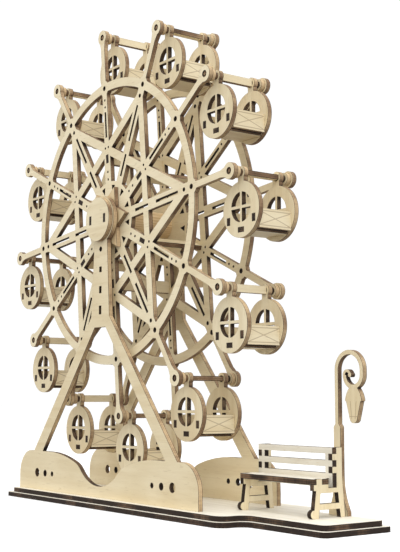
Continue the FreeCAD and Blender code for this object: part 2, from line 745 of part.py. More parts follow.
def make_cabins():
    """Twelve cabins that hang from the arm eyes on bars with round ends.

    The bars stand on edge in half of the cabins and lie flat in the others.
    """
    journal_bore = journal_radius + running_clearance
    end_inner = half_inner - side_play - ply - washer_gap - ply
    end_middle = end_inner + ply / 2
    end = body_named("cabin_end_pattern")
    sketch = sketch_in(end, "XZ_Plane")
    circle(sketch, 0, -cabin_disc_drop, cabin_disc_radius)
    pad(end, sketch, ply)
    sketch = sketch_in(end, "XZ_Plane")
    rectangle(sketch, -cabin_neck_width / 2, cabin_neck_width / 2, -cabin_disc_drop, 0)
    pad(end, sketch, ply)
    sketch = sketch_in(end, "XZ_Plane")
    circle(sketch, 0, 0, cabin_head_radius)
    pad(end, sketch, ply)
    holes = sketch_in(end, "XZ_Plane")
    circle(holes, 0, 0, journal_bore)
    half = mullion_width / 2
    reach = root(window_radius * window_radius - half * half)
    for across, up in ((1, 1), (-1, 1), (-1, -1), (1, -1)):
        corners = [(half, half), (reach, half), (half, reach, window_radius)]
        outline(holes, [(across * c[0], up * c[1] - window_drop)
                        + ((across * up * c[2],) if len(c) == 3 else ()) for c in corners])
    half_slot = slot_width / 2
    half_tenon = panel_tenon_height / 2 + slot_clearance
    tenon_level = -(panel_top_drop + panel_height / 2)
    for side in (-1, 1):
        rectangle(holes, side * panel_place - half_slot, side * panel_place + half_slot,
                  tenon_level - half_tenon, tenon_level + half_tenon)
    half_floor = floor_tenon_width / 2 + slot_clearance
    rectangle(holes, -half_floor, half_floor, -floor_drop - half_slot, -floor_drop + half_slot)
    cut(end, holes)

    panel = body_named("cabin_panel_pattern")
    sketch = sketch_in(panel, "YZ_Plane")
    rectangle(sketch, -end_inner, end_inner, -panel_top_drop - panel_height, -panel_top_drop)
    pad(panel, sketch, ply)
    sketch = sketch_in(panel, "YZ_Plane")
    rectangle(sketch, -end_inner - ply, end_inner + ply,
              tenon_level - panel_tenon_height / 2, tenon_level + panel_tenon_height / 2)
    pad(panel, sketch, ply)

    floor = body_named("cabin_floor_pattern")
    half_width = panel_place - ply / 2 - slot_clearance
    sketch = sketch_in(floor, "XY_Plane")
    rectangle(sketch, -half_width, half_width, -end_inner, end_inner)
    pad(floor, sketch, ply)
    sketch = sketch_in(floor, "XY_Plane")
    rectangle(sketch, -floor_tenon_width / 2, floor_tenon_width / 2,
              -end_inner - ply, end_inner + ply)
    pad(floor, sketch, ply)
    place(floor, z=-floor_drop)

    bars = [cabin_bar("cabin_bar_on_edge", ply, bar_width, end_inner),
            cabin_bar("cabin_bar_lying", bar_width, ply, end_inner)]
    ring = washer("cabin_washer_pattern", cabin_washer_radius, journal_bore, ply)
    rings = [copy_of([ring], f"cabin_washer_{name}", y=side * (half_inner - side_play - ply / 2))
             for name, side in (("a", -1), ("b", 1))]
    ends = [copy_of([end], "cabin_end_a", y=-end_middle), copy_of([end], "cabin_end_b", y=end_middle)]
    sides = [copy_of([panel], "cabin_side_a", x=-panel_place),
             copy_of([panel], "cabin_side_b", x=panel_place), floor]
    for number in range(arm_count):
        angle = 90 - wheel_phase - arm_step * number
        spot = dict(x=arm_radius * cosine(angle), z=axle_height + arm_radius * sine(angle))
        name = f"cabin_{number + 1:02d}"
        keep(copy_of(ends, name + "_ends", **spot))
        keep(copy_of(sides, name + "_panels", **spot))
        keep(copy_of([bars[number in lying_bars]] + rings, name + "_bar", **spot))


def cabin_bar(label, width, height, half_length):
    """A flat bar with a round end to each side; a ring is sunk into the face of each end."""
    bar = body_named(label)
    sketch = sketch_in(bar, "XY_Plane")
    rectangle(sketch, -width / 2, width / 2, -half_length, half_length)
    pad(bar, sketch, height)
    nub = sketch_in(bar, "XZ_Plane")
    circle(nub, 0, 0, journal_nub_radius)
    pad(bar, nub, 2 * (half_outer - side_play))
    journal_end = half_outer - journal_recess
    for start in (half_length, -journal_end):
        journal = sketch_in(bar, "XZ_Plane")
        circle(journal, 0, 0, journal_radius)
        pad(bar, journal, journal_end - half_length, offset=start)
    return bar


# ---------------------------------------------------------------- bench

def make_bench():
    """Bench of two side frames, a seat and a slatted back, finger-jointed together."""
    top = base_top + bench_height
    seat_top = base_top + seat_height
    seat_under = seat_top - ply
    back_rear = bench_back + ply
    upright_rear = bench_back + upright_width
    slat_levels = [top - slat_height - number * (slat_height + slat_gap) for number in range(3)]

    frame = body_named("bench_side_pattern")
    foot_rear = upright_rear + bench_leg_rake
    toe = bench_front + bench_ball_radius - bench_toe
    leg = sketch_in(frame, "YZ_Plane")
    outline(leg, [
        (toe, base_top), (bench_front + bench_leg_width, base_top),
        (bench_front + bench_leg_width + bench_leg_rake, seat_under),
        (bench_front + bench_leg_rake, seat_under), (bench_front, base_top + 2 * bench_ball_radius)])
    pad(frame, leg, ply)
    upright = sketch_in(frame, "YZ_Plane")
    outline(upright, [
        (foot_rear - bench_leg_width, base_top), (foot_rear, base_top),
        (upright_rear, seat_top), (upright_rear, top), (bench_back, top), (bench_back, seat_under),
        (upright_rear - bench_leg_width, seat_under - top_rail_height)])
    pad(frame, upright, ply)
    rails = sketch_in(frame, "YZ_Plane")
    rectangle(rails, bench_front + bench_leg_width / 2, foot_rear - bench_leg_width / 2,
              base_top + low_rail_place, base_top + low_rail_place + rail_height)
    pad(frame, rails, ply)
    rails = sketch_in(frame, "YZ_Plane")
    nose_front = bench_front - seat_nose
    nose_end = nose_front + nose_depth
    outline(rails, [
        (nose_front, seat_under - rail_height), (bench_back, seat_under - rail_height),
        (bench_back, seat_top), (nose_end, seat_top), (nose_end, seat_under), (nose_front, seat_under)])
    pad(frame, rails, ply)
    rails = sketch_in(frame, "YZ_Plane")
    rectangle(rails, bench_front + bench_leg_rake, upright_rear - bench_leg_width / 2,
              seat_under - top_rail_height, seat_under)
    pad(frame, rails, ply)
    ball = sketch_in(frame, "YZ_Plane")
    circle(ball, toe, base_top + bench_ball_radius, bench_ball_radius)
    pad(frame, ball, ply)
    notches = sketch_in(frame, "YZ_Plane")
    rectangle(notches, seat_tab_front - slot_clearance, seat_tab_front + seat_tab_length + slot_clearance,
              seat_under, seat_top + ply)
    for level in slat_levels[:2]:
        rectangle(notches, bench_back - ply, back_rear,
                  level - slot_clearance, level + slat_height + slot_clearance)
    rectangle(notches, bench_back - ply, back_rear,
              seat_under - back_drop, slat_levels[2] + slat_height + slot_clearance)
    cut(frame, notches)
    left_side = bench_left + ply / 2
    right_side = bench_left + bench_length - ply / 2
    keep(copy_of([frame], "bench_side_left", x=left_side))
    keep(copy_of([frame], "bench_side_right", x=right_side))

    right_end = bench_left + bench_length
    seat = keep(body_named("bench_seat"))
    sketch = sketch_in(seat, "XY_Plane")
    inner_left = bench_left + ply + slot_clearance
    inner_right = right_end - ply - slot_clearance
    nose_back = nose_end - slot_clearance
    tab_back = seat_tab_front + seat_tab_length
    outline(sketch, [
        (bench_left, nose_front), (right_end, nose_front),
        (right_end, nose_back), (inner_right, nose_back),
        (inner_right, seat_tab_front), (right_end, seat_tab_front),
        (right_end, tab_back), (inner_right, tab_back),
        (inner_right, bench_back), (inner_left, bench_back),
        (inner_left, tab_back), (bench_left, tab_back),
        (bench_left, seat_tab_front), (inner_left, seat_tab_front),
        (inner_left, nose_back), (bench_left, nose_back)])
    pad(seat, sketch, ply)
    place(seat, z=seat_under + ply / 2)

    back = keep(body_named("bench_back"))
    sketch = sketch_in(back, "XZ_Plane")
    rectangle(sketch, bench_left, right_end, seat_under - back_drop, top)
    pad(back, sketch, ply)
    gaps = sketch_in(back, "XZ_Plane")
    for level in slat_levels[:2]:
        gap_bottom = level - slat_gap
        rectangle(gaps, bench_left + slat_stile, right_end - slat_stile, gap_bottom, level)
        rectangle(gaps, bench_left - ply, bench_left + ply + slot_clearance, gap_bottom, level)
        rectangle(gaps, right_end - ply - slot_clearance, right_end + ply, gap_bottom, level)
    cut(back, gaps)
    place(back, y=bench_back + ply / 2)


# ---------------------------------------------------------------- street lamp

def make_lamp():
    """Lamp post, scroll and lantern, cut as one plate. Its sketches start on the base's top."""
    lamp = keep(body_named("lamp_post"))
    half_low = lamp_low_width / 2
    half_high = lamp_high_width / 2
    foot_half = half_low + lamp_foot_spread / 2
    flare_radius = bow_radius(lamp_foot_height - lamp_toe_height, foot_half - half_low)
    pole = sketch_in(lamp, "XZ_Plane")
    outline(pole, [
        (-foot_half, 0), (foot_half, 0), (foot_half, lamp_toe_height),
        (half_low, lamp_foot_height, -flare_radius), (half_low, lamp_shoulder_height - lamp_shoulder),
        (half_high, lamp_shoulder_height), (half_high, hook_height), (-half_high, hook_height),
        (-half_high, lamp_shoulder_height), (-half_low, lamp_shoulder_height - lamp_shoulder),
        (-half_low, lamp_foot_height), (-foot_half, lamp_toe_height, -flare_radius)])
    pad(lamp, pole, ply)
    tab = sketch_in(lamp, "XZ_Plane")
    rectangle(tab, -lamp_tab_length / 2, lamp_tab_length / 2, -ply, ply)
    pad(lamp, tab, ply)
    hook_middle = hook_radius - half_high
    hook_end = hook_middle + hook_radius
    loop_middle = hook_end - loop_radius
    curl_middle = loop_middle - loop_radius + curl_radius
    for middle, level, radius, width, up in (
            (hook_middle, hook_height, hook_radius, lamp_high_width, 1),
            (loop_middle, scroll_height, loop_radius, lamp_high_width, -1),
            (curl_middle, scroll_height, curl_radius, curl_width, 1)):
        band = sketch_in(lamp, "XZ_Plane")
        half_ring(band, middle, level, radius, width, up)
        pad(lamp, band, ply)
    band = sketch_in(lamp, "XZ_Plane")
    rectangle(band, hook_end - lamp_high_width, hook_end, scroll_height, hook_height)
    pad(lamp, band, ply)
    ball = sketch_in(lamp, "XZ_Plane")
    circle(ball, curl_middle + curl_radius - curl_width / 2, scroll_height, curl_ball_radius)
    pad(lamp, ball, ply)
    lantern = sketch_in(lamp, "XZ_Plane")
    roof_top = scroll_height - loop_radius + lamp_high_width / 2
    eaves = scroll_height - lantern_drop - eaves_drop
    body_end = eaves - eaves_thickness - lantern_body_height
    half_tip = lantern_body_bottom / 2
    tip_radius = bow_radius(half_tip, lantern_tip_height)
    outline(lantern, [
        (loop_middle - lantern_top_width / 2, roof_top, roof_radius),
        (loop_middle - eaves_width / 2, eaves, roof_radius),
        (loop_middle - eaves_width / 2, eaves - eaves_thickness),
        (loop_middle - lantern_body_top / 2, eaves - eaves_thickness),
        (loop_middle - half_tip, body_end),
        (loop_middle, body_end - lantern_tip_height, tip_radius),
        (loop_middle + half_tip, body_end, tip_radius),
        (loop_middle + lantern_body_top / 2, eaves - eaves_thickness),
        (loop_middle + eaves_width / 2, eaves - eaves_thickness),
        (loop_middle + eaves_width / 2, eaves), (loop_middle + lantern_top_width / 2, roof_top, roof_radius)])
    pad(lamp, lantern, ply)
    place(lamp, x=lamp_place, y=lamp_front + ply / 2, z=base_top)


def half_ring(sketch, middle, level, radius, width, up):
    """Half of a flat ring, above (up = 1) or below (up = -1) its centre's level."""
    inner = radius - width
    outline(sketch, [
        (middle + radius, level),
        (middle, level + up * radius, up * radius),
        (middle - radius, level, up * radius),
        (middle - inner, level),
        (middle, level + up * inner, -up * inner),
        (middle + inner, level, -up * inner)])


# ---------------------------------------------------------------- crank

def make_crank():
    """Crank arm on the axle's rear end, with a knob that turns on its pin."""
    arm_y = support_outer + crank_gap + ply / 2
    arm = keep(body_named("crank_arm"))
    sketch = sketch_in(arm, "XZ_Plane")
    rectangle(sketch, -crank_arm_width / 2, crank_arm_width / 2, -crank_length, 0)
    pad(arm, sketch, ply)
    for level, radius in ((as_size(0), crank_hub_radius), (-crank_length, crank_arm_width / 2)):
        sketch = sketch_in(arm, "XZ_Plane")
        circle(sketch, 0, level, radius)
        pad(arm, sketch, ply)
    holes = sketch_in(arm, "XZ_Plane")
    circle(holes, 0, 0, axle_bore)
    circle(holes, 0, -crank_length, crank_pin_radius + slot_clearance)
    cut(arm, holes)
    place(arm, y=arm_y, z=axle_height)
    disc = keep(washer("crank_hub_disc", crank_hub_radius, axle_bore, ply))
    place(disc, y=arm_y + ply, z=axle_height)
    arm_back = arm_y + ply / 2
    knob_space = knob_length + 2 * side_play
    pin = keep(body_named("crank_pin"))
    sketch = sketch_in(pin, "XZ_Plane")
    circle(sketch, 0, 0, crank_pin_radius)
    pad(pin, sketch, ply + knob_space + ply, offset=-(arm_back + knob_space + ply))
    sketch = sketch_in(pin, "XZ_Plane")
    circle(sketch, 0, 0, pin_head_radius)
    pad(pin, sketch, ply, offset=-(arm_back + knob_space + ply))
    place(pin, z=axle_height - crank_length)
    knob = keep(body_named("crank_knob"))
    sketch = sketch_in(knob, "XZ_Plane")
    circle(sketch, 0, 0, knob_radius)
    circle(sketch, 0, 0, crank_pin_radius + running_clearance)
    pad(knob, sketch, knob_length)
    place(knob, y=arm_back + knob_space / 2, z=axle_height - crank_length)


# ---------------------------------------------------------------- build

make_base()
make_supports()
make_hub_cap()
make_wheel_plates()
make_hub_parts()
make_cabins()
make_bench()
make_lamp()
make_crank()
doc.recompute()

for thing in doc.Objects:
    if "Invalid" in thing.State or "Error" in thing.State:
        raise RuntimeError(f"{thing.Label} failed: {thing.State}")
for node in nodes:
    if node.Shape.isNull() or not node.Shape.isValid():
        raise RuntimeError(f"{node.Label} has no valid shape")

os.makedirs("parts", exist_ok=True)
for node in nodes:
    node.Shape.exportStep(f"parts/{node.Label}.step")
print(len(nodes), "nodes")
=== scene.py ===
"""Hand-cranked ferris wheel toy in laser-cut birch ply: finishes, studio and camera.

Metres, Z up. X runs along the wheel's plane, Y along the axle (front is -Y). The origin is on the
ground, straight below the axle, half way between the two wheel plates. Every piece of the toy comes
from the frame as it is. This script gives each one its finish, and adds a floor, lights and a camera.
"""
import bpy
import json
import math
import numpy as np
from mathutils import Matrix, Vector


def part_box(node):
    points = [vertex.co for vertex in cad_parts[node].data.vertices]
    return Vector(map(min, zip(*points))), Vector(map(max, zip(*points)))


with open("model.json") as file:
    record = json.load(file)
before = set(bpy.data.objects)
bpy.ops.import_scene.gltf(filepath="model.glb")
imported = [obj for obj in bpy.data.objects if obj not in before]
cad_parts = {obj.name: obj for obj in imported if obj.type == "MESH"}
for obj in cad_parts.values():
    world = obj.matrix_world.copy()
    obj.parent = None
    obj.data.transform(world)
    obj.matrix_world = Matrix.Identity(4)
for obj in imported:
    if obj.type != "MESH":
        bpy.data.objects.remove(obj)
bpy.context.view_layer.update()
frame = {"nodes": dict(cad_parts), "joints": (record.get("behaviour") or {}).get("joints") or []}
nodes = frame["nodes"]
pivots = {joint["child"]: joint["pos_m"] for joint in frame["joints"]}


def sheet_middle(node, axis):
    """The middle of a flat piece's sheet, along the axis that the sheet is square to."""
    low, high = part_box(node)
    number = "xyz".index(axis)
    return (low[number] + high[number]) / 2


MM = 0.001
SHEET = 3.0 * MM
AXLE = pivots["wheel"]
WHEEL_PLATE = sheet_middle("wheel_rear_plate", "y")

# the angle from one spacer bar to the next, and how far the whole wheel is turned
SPACER_STEP = math.radians(60)
WHEEL_PHASE = math.radians(-5.5)

# a margin, so that a surface right at a limit falls on its own side of it
HAIR = 0.03 * MM

# the dip in a support's foot: where its painted shade under the arch begins to fade and where it has
# gone
DIP_SHADE_SIDE = (70 * MM, 84 * MM)
DIP_SHADE_TOP = (34 * MM, 40 * MM)

# middles of a cabin's end plates, side panels and floor, measured from its pivot
cabin_pivot = pivots["cabin_01"]
panels_low, panels_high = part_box("cabin_01_panels")
CABIN_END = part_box("cabin_01_ends")[1].y - SHEET / 2
CABIN_SIDE = panels_high.x - cabin_pivot[0] - SHEET / 2
CABIN_FLOOR = panels_low.z - cabin_pivot[2] + SHEET / 2

# a cabin's bar: half of its flat part, the middle of its washers and the radius of its round ends
BAR_HALF = 11.9 * MM
BAR_WASHER = 19.0 * MM
BAR_ROUND = 2.05 * MM
LYING_BARS = (2, 4, 6, 7, 10, 12)

# the lantern's middle line, and the heights of its eaves and its lower end
LANTERN_X = 183.1 * MM
LANTERN_EAVES, LANTERN_END = 68.6 * MM, 59.0 * MM

# lines on a cut edge, by the distance from the middle of the sheet: one begins and is full towards
# each face, and one along the middle is full and then gone
BORDER_LINE = (1.0 * MM, 1.4 * MM)
CORE_LINE = (0.35 * MM, 0.6 * MM)

# how near a wall has to be for the painted shade in narrow holes, which also stands for soot there, the
# share that draws the ripples out through the sheet, the length over which the tenons' burn comes
# up, and the radius that all edges look eased by
HOLE_SHADE_REACH = 10.0 * MM
RIPPLE_RUN = 0.1
TENON_RISE = 0.3 * MM
EASED_EDGE = 0.4 * MM

# radians of a dowel's rings to the metre, a ring each 0.9 mm, and the shift of the axis off their heart
RING_RATE = 7000.0
RING_HEART = (2.2 * MM, 0, 6.5 * MM)

# finishes of the wood, as linear colours: the veneer, what the laser leaves, and the dowels
BIRCH_CHALK = (0.800, 0.755, 0.650, 1)
BIRCH_ASH = (0.600, 0.545, 0.430, 1)
BIRCH_LIGHT = (0.790, 0.690, 0.480, 1)
BIRCH_WARM = (0.660, 0.540, 0.330, 1)
BIRCH_HONEY = (0.620, 0.430, 0.220, 1)
BIRCH_FLECK = (0.480, 0.360, 0.200, 1)
SINGE_TAN = (0.580, 0.430, 0.250, 1)
SINGE_BROWN = (0.200, 0.120, 0.068, 1)
SINGE_BLACK = (0.020, 0.012, 0.008, 1)
DOWEL_LIGHT = (0.730, 0.560, 0.330, 1)
DOWEL_DARK = (0.540, 0.350, 0.170, 1)

# a veneer is two of these colours, and its bands and clouds go from the first to the second
PALE_VENEER = (BIRCH_CHALK, BIRCH_ASH)
PLAIN_VENEER = (BIRCH_LIGHT, BIRCH_WARM)
HONEY_VENEER = (BIRCH_WARM, BIRCH_HONEY)


# ---------------------------------------------------------------- building a finish

class Finish:
    """A material in the making, with short ways to add nodes to it."""

    def __init__(self, name):
        self.material = bpy.data.materials.new(name)
        self.material.use_nodes = True
        self.tree = self.material.node_tree
        self.tree.nodes.clear()
        place = self.add("ShaderNodeTexCoord")
        self.position = place.outputs["Object"]
        self.normal = place.outputs["Normal"]

    def add(self, kind, inputs=(), **settings):
        """Add a node. Inputs are pairs of a socket's name or number and a value or another socket."""
        node = self.tree.nodes.new(kind)
        for key, value in settings.items():
            setattr(node, key, value)
        for key, value in inputs:
            if isinstance(value, bpy.types.NodeSocket):
                self.tree.links.new(value, node.inputs[key])
            else:
                node.inputs[key].default_value = value
        return node

    def calc(self, operation, *values):
        """One sum on plain numbers."""
        return self.add("ShaderNodeMath", enumerate(values), operation=operation).outputs[0]

    def size(self, value):
        """The number without its sign."""
        return self.calc("ABSOLUTE", value)

    def gap(self, value, middle):
        """How far the number is from the middle, either way."""
        return self.size(self.calc("SUBTRACT", value, middle))

    def total(self, first, *others):
        """All the numbers added up."""
        for value in others:
            first = self.calc("ADD", first, value)
        return first

    def vector(self, operation, *values):
        """One sum on vectors."""
        node = self.add("ShaderNodeVectorMath", enumerate(values), operation=operation)
        return node.outputs["Value" if operation in ("DOT_PRODUCT", "LENGTH") else "Vector"]

    def part(self, vector, axis):
        """The x, y or z of the vector."""
        split = self.add("ShaderNodeSeparateXYZ", [("Vector", vector)])
        return split.outputs["xyz".index(axis)]

    def fade(self, value, low, high, start=0.0, end=1.0):
        """start below low, end above high, and a smooth step between."""
        return self.add("ShaderNodeMapRange", [
            ("Value", value), ("From Min", low), ("From Max", high), ("To Min", start),
            ("To Max", end)], interpolation_type="SMOOTHSTEP").outputs["Result"]

    def pick(self, share, first, second):
        """The first number where the share is 1, and the second where it is 0."""
        return self.add("ShaderNodeMix", [(0, share), (2, second), (3, first)]).outputs[0]

    def noise(self, vector, scale, detail=2.0, roughness=0.5, distortion=0.0):
        """Soft noise, about 0.5."""
        return self.add("ShaderNodeTexNoise", [
            ("Vector", vector), ("Scale", scale), ("Detail", detail), ("Roughness", roughness),
            ("Distortion", distortion)]).outputs["Fac"]

    def moved(self, vector, scale=(1, 1, 1), shift=(0, 0, 0)):
        """The vector scaled, then shifted."""
        return self.add("ShaderNodeMapping", [
            ("Vector", vector), ("Scale", scale), ("Location", shift)]).outputs["Vector"]

    def drawn_out(self, vector, axis, share, shift=(0, 0, 0)):
        """The vector with one axis scaled to a share, so that a pattern runs long that way."""
        scale = [1.0, 1.0, 1.0]
        scale["xyz".index(axis)] = share
        return self.moved(vector, scale=tuple(scale), shift=shift)

    def centred(self, centre):
        """The object's own coordinates, measured from a centre."""
        return self.moved(self.position, shift=tuple(-c for c in centre))

    def mix(self, share, first, second):
        """One colour into another. A Mix node's sockets 6 and 7 are its two colours."""
        node = self.add("ShaderNodeMix", [("Factor", share)], data_type="RGBA")
        for socket, value in ((node.inputs[6], first), (node.inputs[7], second)):
            if isinstance(value, bpy.types.NodeSocket):
                self.tree.links.new(value, socket)
            else:
                socket.default_value = value
        return node.outputs[2]

    def soften(self, radius):
        """The normal as if the edges were eased by this radius."""
        return self.add("ShaderNodeBevel", [("Radius", radius)], samples=4).outputs["Normal"]

    def close(self, colour, roughness, height, bump, eased):
        """Finish with one shader and give back the material."""
        relief = self.add("ShaderNodeBump", [
            ("Height", height), ("Strength", bump), ("Distance", 0.1 * MM), ("Normal", eased)])
        shader = self.add("ShaderNodeBsdfPrincipled", [
            ("Base Color", colour), ("Roughness", roughness), ("Normal", relief.outputs["Normal"]),
            ("Specular IOR Level", 0.3)])
        self.add("ShaderNodeOutputMaterial", [("Surface", shader.outputs["BSDF"])])
        return self.material


# ---------------------------------------------------------------- where a sheet's faces and edges are
#
# Each way to lay the sheets gives four values: 1 on a face and 0 on a cut edge, the distance from the
# middle of the sheet's thickness, the position where the laser's ripples are read, and the char that
# an edge gets on top of the usual.

def face_share(finish, facing):
    """1 on a face and 0 on an edge, from how squarely the normal points across the sheet."""
    return finish.fade(facing, 0.5, 0.8)


def tenon_char(finish, position, start, most):
    """Char on the ends of tenons that run along Y, from this far out."""
    out = finish.size(finish.part(position, "y"))
    return finish.fade(out, start, start + TENON_RISE, end=most)


def flat(axis, middle=0.0, pair=False):
    """A sheet square to one axis, or a pair of them on both sides of the middle plane. The ripples
    are drawn out across the sheet, so they run straight through it."""

    def lay(finish, position, normal):
        place = finish.part(position, axis)
        if pair:
            place = finish.size(place)
        depth = finish.calc("SUBTRACT", place, middle)
        facing = finish.size(finish.part(normal, axis))
        through = finish.drawn_out(position, axis, RIPPLE_RUN)
        return face_share(finish, facing), depth, through, 0.0
    return lay


def support_sheet(middle):
    """A support's sheet, with painted shade along the dip of its foot, under the arch."""
    plain = flat("y", middle)

    def lay(finish, position, normal):
        is_face, depth, through = plain(finish, position, normal)[:3]
        # painted shade: edges in the dip under the foot's arch are darkened, fading out towards its
        # sides and its top
        inner = finish.fade(finish.size(finish.part(position, "x")), *DIP_SHADE_SIDE, start=0.75, end=0.0)
        low = finish.fade(finish.part(position, "z"), *DIP_SHADE_TOP, start=1.0, end=0.0)
        return is_face, depth, through, finish.calc("MULTIPLY", inner, low)
    return lay


def spacers(finish, position, normal):
    """Six bars whose sheets stand on the radii of the wheel. The depth is the radius times the sine of
    the angle from the nearest sheet's radius. Edges point outwards, inwards or along the axle."""
    angle = finish.calc("ARCTAN2", finish.part(position, "z"), finish.part(position, "x"))
    angle = finish.calc("WRAP", finish.calc("ADD", angle, WHEEL_PHASE), SPACER_STEP, 0.0)
    swing = finish.calc("SUBTRACT", angle, SPACER_STEP / 2)
    radial = finish.vector("MULTIPLY", position, (1, 0, 1))
    depth = finish.calc("MULTIPLY", finish.vector("LENGTH", radial), finish.calc("SINE", swing))
    outward = finish.vector("NORMALIZE", radial)
    ends = finish.size(finish.vector("DOT_PRODUCT", normal, outward))
    sides = finish.size(finish.part(normal, "y"))
    is_face = finish.fade(finish.calc("MAXIMUM", ends, sides), 0.3, 0.7, start=1.0, end=0.0)
    return is_face, depth, position, tenon_char(finish, position, WHEEL_PLATE + 1.0 * MM, 0.7)


def cabin_panels(finish, position, normal):
    """Two upright side panels and a floor between them."""
    out = finish.size(finish.part(position, "x"))
    is_side = finish.calc("GREATER_THAN", out, CABIN_SIDE - SHEET / 2 - HAIR)
    depth = finish.pick(is_side, finish.calc("SUBTRACT", out, CABIN_SIDE),
                        finish.calc("SUBTRACT", finish.part(position, "z"), CABIN_FLOOR))
    facing = finish.pick(is_side, finish.size(finish.part(normal, "x")),
                         finish.size(finish.part(normal, "z")))
    tenons = tenon_char(finish, position, CABIN_END + 1.1 * MM, 0.9)
    return face_share(finish, facing), depth, position, tenons


def cabin_bar(lying):
    """A flat bar, upright or lying, with round ends and a washer on each.

    The washers are where the radius is more than the round ends', and their edges are lighter. All
    else beyond the bar's flat part is cut round, with no face."""
    axis = "z" if lying else "x"

    def lay(finish, position, normal):
        out = finish.size(finish.part(position, "y"))
        radius = finish.vector("LENGTH", finish.vector("MULTIPLY", position, (1, 0, 1)))
        is_flat = finish.calc("LESS_THAN", out, BAR_HALF - HAIR)
        is_washer = finish.calc("GREATER_THAN", radius, BAR_ROUND + HAIR)
        washer_facing = finish.calc("MULTIPLY", is_washer, finish.size(finish.part(normal, "y")))
        washer_depth = finish.calc("MULTIPLY", is_washer, finish.calc("SUBTRACT", out, BAR_WASHER))
        facing = finish.pick(is_flat, finish.size(finish.part(normal, axis)), washer_facing)
        depth = finish.pick(is_flat, finish.part(position, axis), washer_depth)
        scorch = finish.pick(is_flat, 0.3, finish.pick(is_washer, -0.35, 0.3))
        return face_share(finish, facing), depth, position, scorch
    return lay


# ---------------------------------------------------------------- marks cut into a face

def scored_line(finish, distance, width):
    """1 on a scored line and 0 beside it, from the distance to its middle."""
    return finish.fade(distance, width * 0.2, width * 0.7, start=1.0, end=0.0)


def panel_cross(finish, position):
    """Saltire and border lines on a cabin's side panel. Both diagonals are where the height from
    the middle is the slope times the distance along."""
    half_height, half_length, middle = 3.9 * MM, 11.2 * MM, -27.7 * MM
    border_gap, line = 0.3 * MM, 0.6 * MM
    height = finish.gap(finish.part(position, "z"), middle)
    along = finish.size(finish.part(position, "y"))
    diagonal = finish.gap(height, finish.calc("MULTIPLY", along, half_height / half_length))
    inside = finish.calc("MULTIPLY", finish.calc("LESS_THAN", height, half_height),
                         finish.calc("LESS_THAN", along, half_length))
    cross = finish.calc("MULTIPLY", inside, scored_line(finish, diagonal, line))
    border = scored_line(finish, finish.gap(height, half_height + border_gap), line)
    out = finish.size(finish.part(position, "x"))
    is_outside = finish.calc("GREATER_THAN", out, CABIN_SIDE)
    return finish.calc("MULTIPLY", is_outside, finish.calc("MAXIMUM", cross, border))


def lantern_panes(finish, position):
    """Glazing bars scored on the lantern: one each side that leans in towards the bottom, by the share
    of the height that it has come down, and a rail across."""
    top_half, lean, rail_height, reach = 2.3 * MM, 1.0 * MM, 1.2 * MM, 7.5 * MM
    line = 0.45 * MM
    height = finish.part(position, "z")
    fall = finish.calc("DIVIDE", finish.calc("SUBTRACT", LANTERN_EAVES, height),
                       LANTERN_EAVES - LANTERN_END)
    bar_place = finish.calc("SUBTRACT", top_half, finish.calc("MULTIPLY", fall, lean))
    across = finish.gap(finish.part(position, "x"), LANTERN_X)
    bars = scored_line(finish, finish.gap(across, bar_place), line)
    rail = scored_line(finish, finish.gap(height, LANTERN_END + rail_height), line)
    inside = finish.calc("MULTIPLY", finish.calc("LESS_THAN", height, LANTERN_EAVES),
                         finish.calc("GREATER_THAN", height, LANTERN_END))
    inside = finish.calc("MULTIPLY", inside, finish.calc("LESS_THAN", across, reach))
    return finish.calc("MULTIPLY", inside, finish.calc("MAXIMUM", bars, rail))


# ---------------------------------------------------------------- the finishes

def veneer_face(finish, position, grain, veneer, tone, seed):
    """The colour of a face, and its fibres: long soft bands and round clouds between the veneer's two
    colours, then fine fibres and short flecks along the grain."""
    along_grain = finish.drawn_out(position, grain, 0.07, shift=(seed, seed * 0.7, seed * 1.3))
    bands = finish.noise(along_grain, scale=150, detail=3, roughness=0.55, distortion=0.6)
    fibres = finish.noise(along_grain, scale=1400, roughness=0.6)
    short = finish.drawn_out(position, grain, 0.16, shift=(seed + 3, 0, 0))
    flecks = finish.noise(short, scale=900, detail=1)
    clouds = finish.noise(finish.moved(position, shift=(seed, 5, seed)), scale=28)
    warmth = finish.total(finish.fade(bands, 0.35, 0.75, end=0.55),
                          finish.fade(clouds, 0.35, 0.7, end=0.3), tone)
    face = finish.mix(warmth, *veneer)
    face = finish.mix(finish.fade(fibres, 0.5, 0.78, end=0.2), face, BIRCH_FLECK)
    face = finish.mix(finish.fade(flecks, 0.66, 0.74, end=0.3), face, BIRCH_FLECK)
    return face, fibres


def laser_edge(finish, position, depth, through, scorch, burn, seed):
    """The colour of a cut edge, and its ripples. The edge goes from tan over brown to black with its
    char: a dark line beside each face, a faint one along the middle, painted shade where a hole is
    narrow, which also stands for soot there, patches about the piece's own burn, and the ripples."""
    layer = finish.size(depth)
    border = finish.fade(layer, *BORDER_LINE, end=0.8)
    core = finish.fade(layer, *CORE_LINE, start=0.12, end=0.0)
    # painted shade: a cut edge darkens by how closely nearby walls hem it in, so narrow holes and slots
    # go dark; this also stands for the laser's soot there
    open_sky = finish.add("ShaderNodeAmbientOcclusion", [("Distance", HOLE_SHADE_REACH)],
                          samples=8, only_local=True).outputs["AO"]
    hole_shade_and_soot = finish.fade(open_sky, 0.4, 1.0, start=1.1, end=0.0)
    patches = finish.noise(finish.moved(position, shift=(2, seed, 1)), scale=60)
    ripples = finish.noise(through, scale=900, roughness=0.7)
    patchy_burn = finish.fade(patches, 0.3, 0.7, start=burn - 0.25, end=burn + 0.25)
    rippled = finish.fade(ripples, 0.3, 0.7, start=-0.07, end=0.07)
    char = finish.total(border, core, hole_shade_and_soot, scorch, patchy_burn, rippled)
    edge = finish.mix(finish.fade(char, 0.0, 0.7), SINGE_TAN, SINGE_BROWN)
    edge = finish.mix(finish.fade(char, 0.6, 1.3), edge, SINGE_BLACK)
    return edge, ripples


